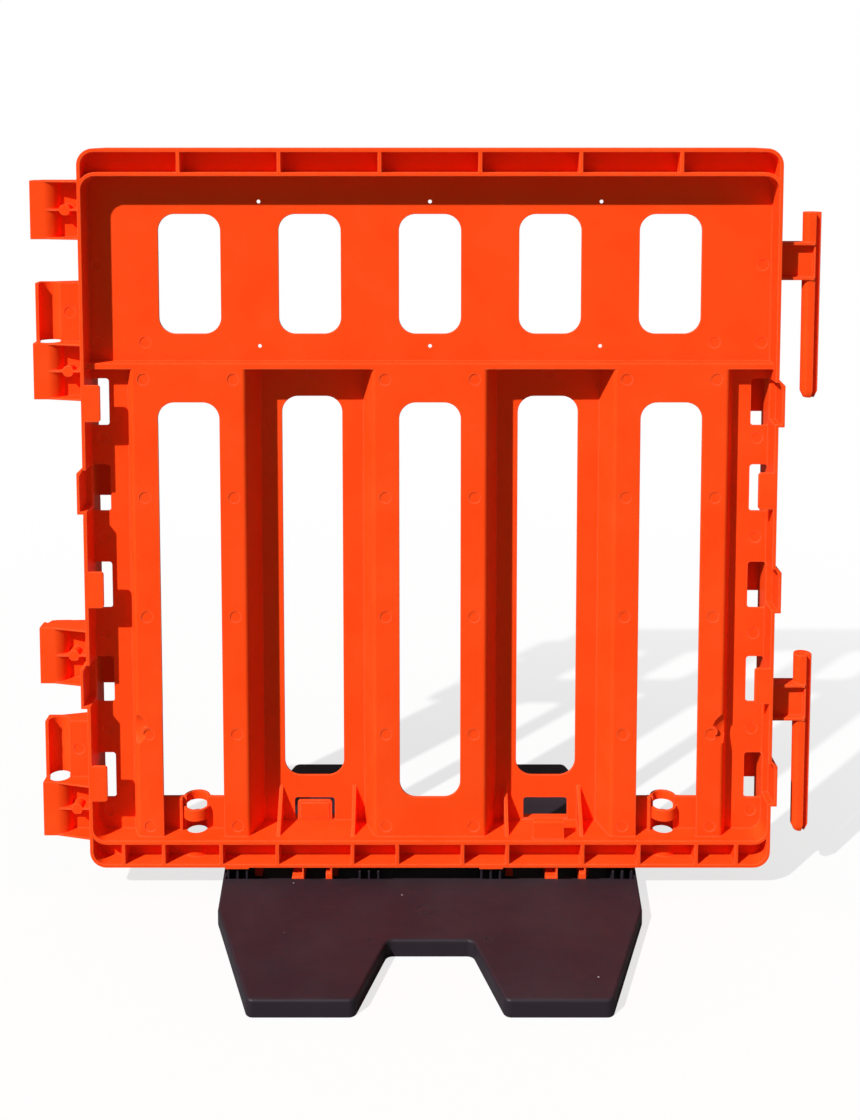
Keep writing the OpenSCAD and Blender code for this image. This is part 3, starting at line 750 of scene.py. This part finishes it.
def orange_plastic():
    """Satin orange plastic: faint mottling, paler edges that are partly wear and partly a painted highlight,
    and a fine moulded grain.
    """
    material, tree, shader = principled("orange_plastic")
    coords = object_coords(tree)
    mottle = ramp(tree, noise(tree, coords, *MOTTLE_NOISE), *MOTTLE_RANGE)
    colour = mix(tree, mottle, ORANGE_DEEP, ORANGE)
    # Paler edges, partly wear and partly a painted highlight where the rims catch the light
    wear_and_highlight_patches = ramp(tree, noise(tree, coords, WEAR_AND_HIGHLIGHT_SCALE), *WEAR_AND_HIGHLIGHT_RANGE)
    wear_and_highlight = times(tree, edge_mask(tree, WEAR_AND_HIGHLIGHT_R), wear_and_highlight_patches)
    colour = mix(tree, times(tree, wear_and_highlight, WEAR_AND_HIGHLIGHT_SHARE), colour, ORANGE_WEAR_AND_HIGHLIGHT)
    tree.links.new(colour, shader.inputs["Base Color"])
    rough = ramp(tree, noise(tree, coords, ORANGE_ROUGH_SCALE), *ROUGH_RANGE, *ORANGE_ROUGH)
    tree.links.new(rough, shader.inputs["Roughness"])
    shader.inputs["Specular IOR Level"].default_value = ORANGE_SPECULAR
    shader.inputs["Subsurface Weight"].default_value = SUBSURFACE_SHARE
    shader.inputs["Subsurface Radius"].default_value = SUBSURFACE_RADII
    shader.inputs["Subsurface Scale"].default_value = SUBSURFACE_SCALE
    swell = times(tree, noise(tree, coords, *SWELL_NOISE), SWELL_SHARE)
    relief = math_node(tree, "ADD", noise(tree, coords, *GRAIN_NOISE), swell)
    add_bump(tree, shader, relief, *ORANGE_RELIEF)
    return material


def foot_plastic():
    """Dark dull plastic: brown dusty top, greyer sides, stains, scratches, pale specks, and paler rims that
    are partly rubbed and partly a painted highlight.
    """
    material, tree, shader = principled("foot_plastic")
    coords = object_coords(tree)
    normal = tree.nodes.new("ShaderNodeNewGeometry").outputs["Normal"]
    up = add_node(tree, "ShaderNodeSeparateXYZ", Vector=normal).outputs["Z"]
    top = ramp(tree, up, *TOP_RANGE)
    colour = mix(tree, top, FOOT_GREY, FOOT_BROWN)
    stain = ramp(tree, noise(tree, coords, *STAIN_NOISE), *STAIN_RANGE)
    streaks = stretched(tree, coords, SCUFF_TURN, SCUFF_STRETCH)
    scuff = ramp(tree, noise(tree, streaks, *SCUFF_NOISE), *SCUFF_RANGE)
    dust = math_node(tree, "MAXIMUM", times(tree, stain, STAIN_SHARE), times(tree, scuff, SCUFF_SHARE))
    colour = mix(tree, times(tree, dust, top), colour, FOOT_DUST_AND_HIGHLIGHT)
    # Paler rims, partly rubbed and partly a painted highlight along the edges
    colour = mix(tree, times(tree, edge_mask(tree, RUB_AND_HIGHLIGHT_R), RUB_AND_HIGHLIGHT_SHARE), colour, FOOT_DUST_AND_HIGHLIGHT)
    colour = mix(tree, times(tree, specks(tree, coords), top), colour, FOOT_SPECK)
    tree.links.new(colour, shader.inputs["Base Color"])
    rough = ramp(tree, noise(tree, coords, FOOT_ROUGH_SCALE), *ROUGH_RANGE, *FOOT_ROUGH)
    tree.links.new(rough, shader.inputs["Roughness"])
    shader.inputs["Specular IOR Level"].default_value = FOOT_SPECULAR
    add_bump(tree, shader, noise(tree, coords, *FOOT_GRAIN_NOISE), *FOOT_RELIEF)
    return material


def seen_directly(tree):
    """1 for camera and transmission rays, and 0 for the light that falls on the object."""
    path = tree.nodes.new("ShaderNodeLightPath").outputs
    return math_node(tree, "MAXIMUM", path["Is Camera Ray"], path["Is Transmission Ray"])


def floor():
    """A floor that keeps the object's shadow, is seen pale, fades to white and throws little light back."""
    edit = bmesh.new()
    bmesh.ops.create_circle(edit, cap_ends=True, radius=FLOOR_R, segments=FLOOR_STEPS)
    ground = from_bmesh("floor", edit)
    material, tree, shader = principled("floor")
    seen = seen_directly(tree)
    tree.links.new(mix(tree, seen, FLOOR_DULL, FLOOR_PALE), shader.inputs["Base Color"])
    shader.inputs["Roughness"].default_value = FLOOR_ROUGH
    shader.inputs["Specular IOR Level"].default_value = 0
    white = add_node(tree, "ShaderNodeEmission", Strength=1)
    reach = tree.nodes.new("ShaderNodeVectorMath")
    reach.operation = "LENGTH"
    tree.links.new(object_coords(tree), reach.inputs[0])
    fade = ramp(tree, reach.outputs["Value"], FADE_NEAR, FADE_FAR, FADE_LOW, 1)
    blend = tree.nodes.new("ShaderNodeMixShader")
    tree.links.new(times(tree, fade, seen), blend.inputs[0])
    tree.links.new(shader.outputs["BSDF"], blend.inputs[1])
    tree.links.new(white.outputs["Emission"], blend.inputs[2])
    tree.links.new(blend.outputs["Shader"], tree.nodes["Material Output"].inputs["Surface"])
    ground.data.materials.append(material)


def world():
    """Soft even light all round, and a white background."""
    studio = bpy.data.worlds.new("studio")
    studio.use_nodes = True
    bpy.context.scene.world = studio
    tree = studio.node_tree
    background = tree.nodes["Background"]
    background.inputs["Color"].default_value = (*WHITE, 1)
    strength = ramp(tree, seen_directly(tree), 0, 1, WORLD_STRENGTH, 1)
    tree.links.new(strength, background.inputs["Strength"])


def key_light():
    """The key light."""
    data = bpy.data.lights.new("key", "SUN")
    data.energy = KEY_STRENGTH
    data.angle = math.radians(KEY_ANGLE)
    key = bpy.data.objects.new("key", data)
    key.rotation_mode = "QUATERNION"
    key.rotation_quaternion = Vector(KEY_TRAVEL).to_track_quat("-Z", "Y")
    bpy.context.scene.collection.objects.link(key)


def camera():
    """The photograph's camera."""
    data = bpy.data.cameras.new("camera")
    data.sensor_fit = "HORIZONTAL"
    data.sensor_width = SENSOR_W
    data.lens = SENSOR_W * FOCAL_PX / PICTURE_W
    data.shift_y = -(PICTURE_H / 2 - AXIS_PX) / PICTURE_W
    eye = bpy.data.objects.new("camera", data)
    eye.location = CAMERA_PLACE
    eye.rotation_euler = (math.radians(90 - CAMERA_PITCH), 0, 0)
    bpy.context.scene.collection.objects.link(eye)
    bpy.context.scene.camera = eye


bpy.context.scene.view_settings.view_transform = "Standard"
camera()
key_light()
floor()
world()
orange = orange_plastic()
panel_moulding(orange)
latch(orange)
foot(foot_plastic())
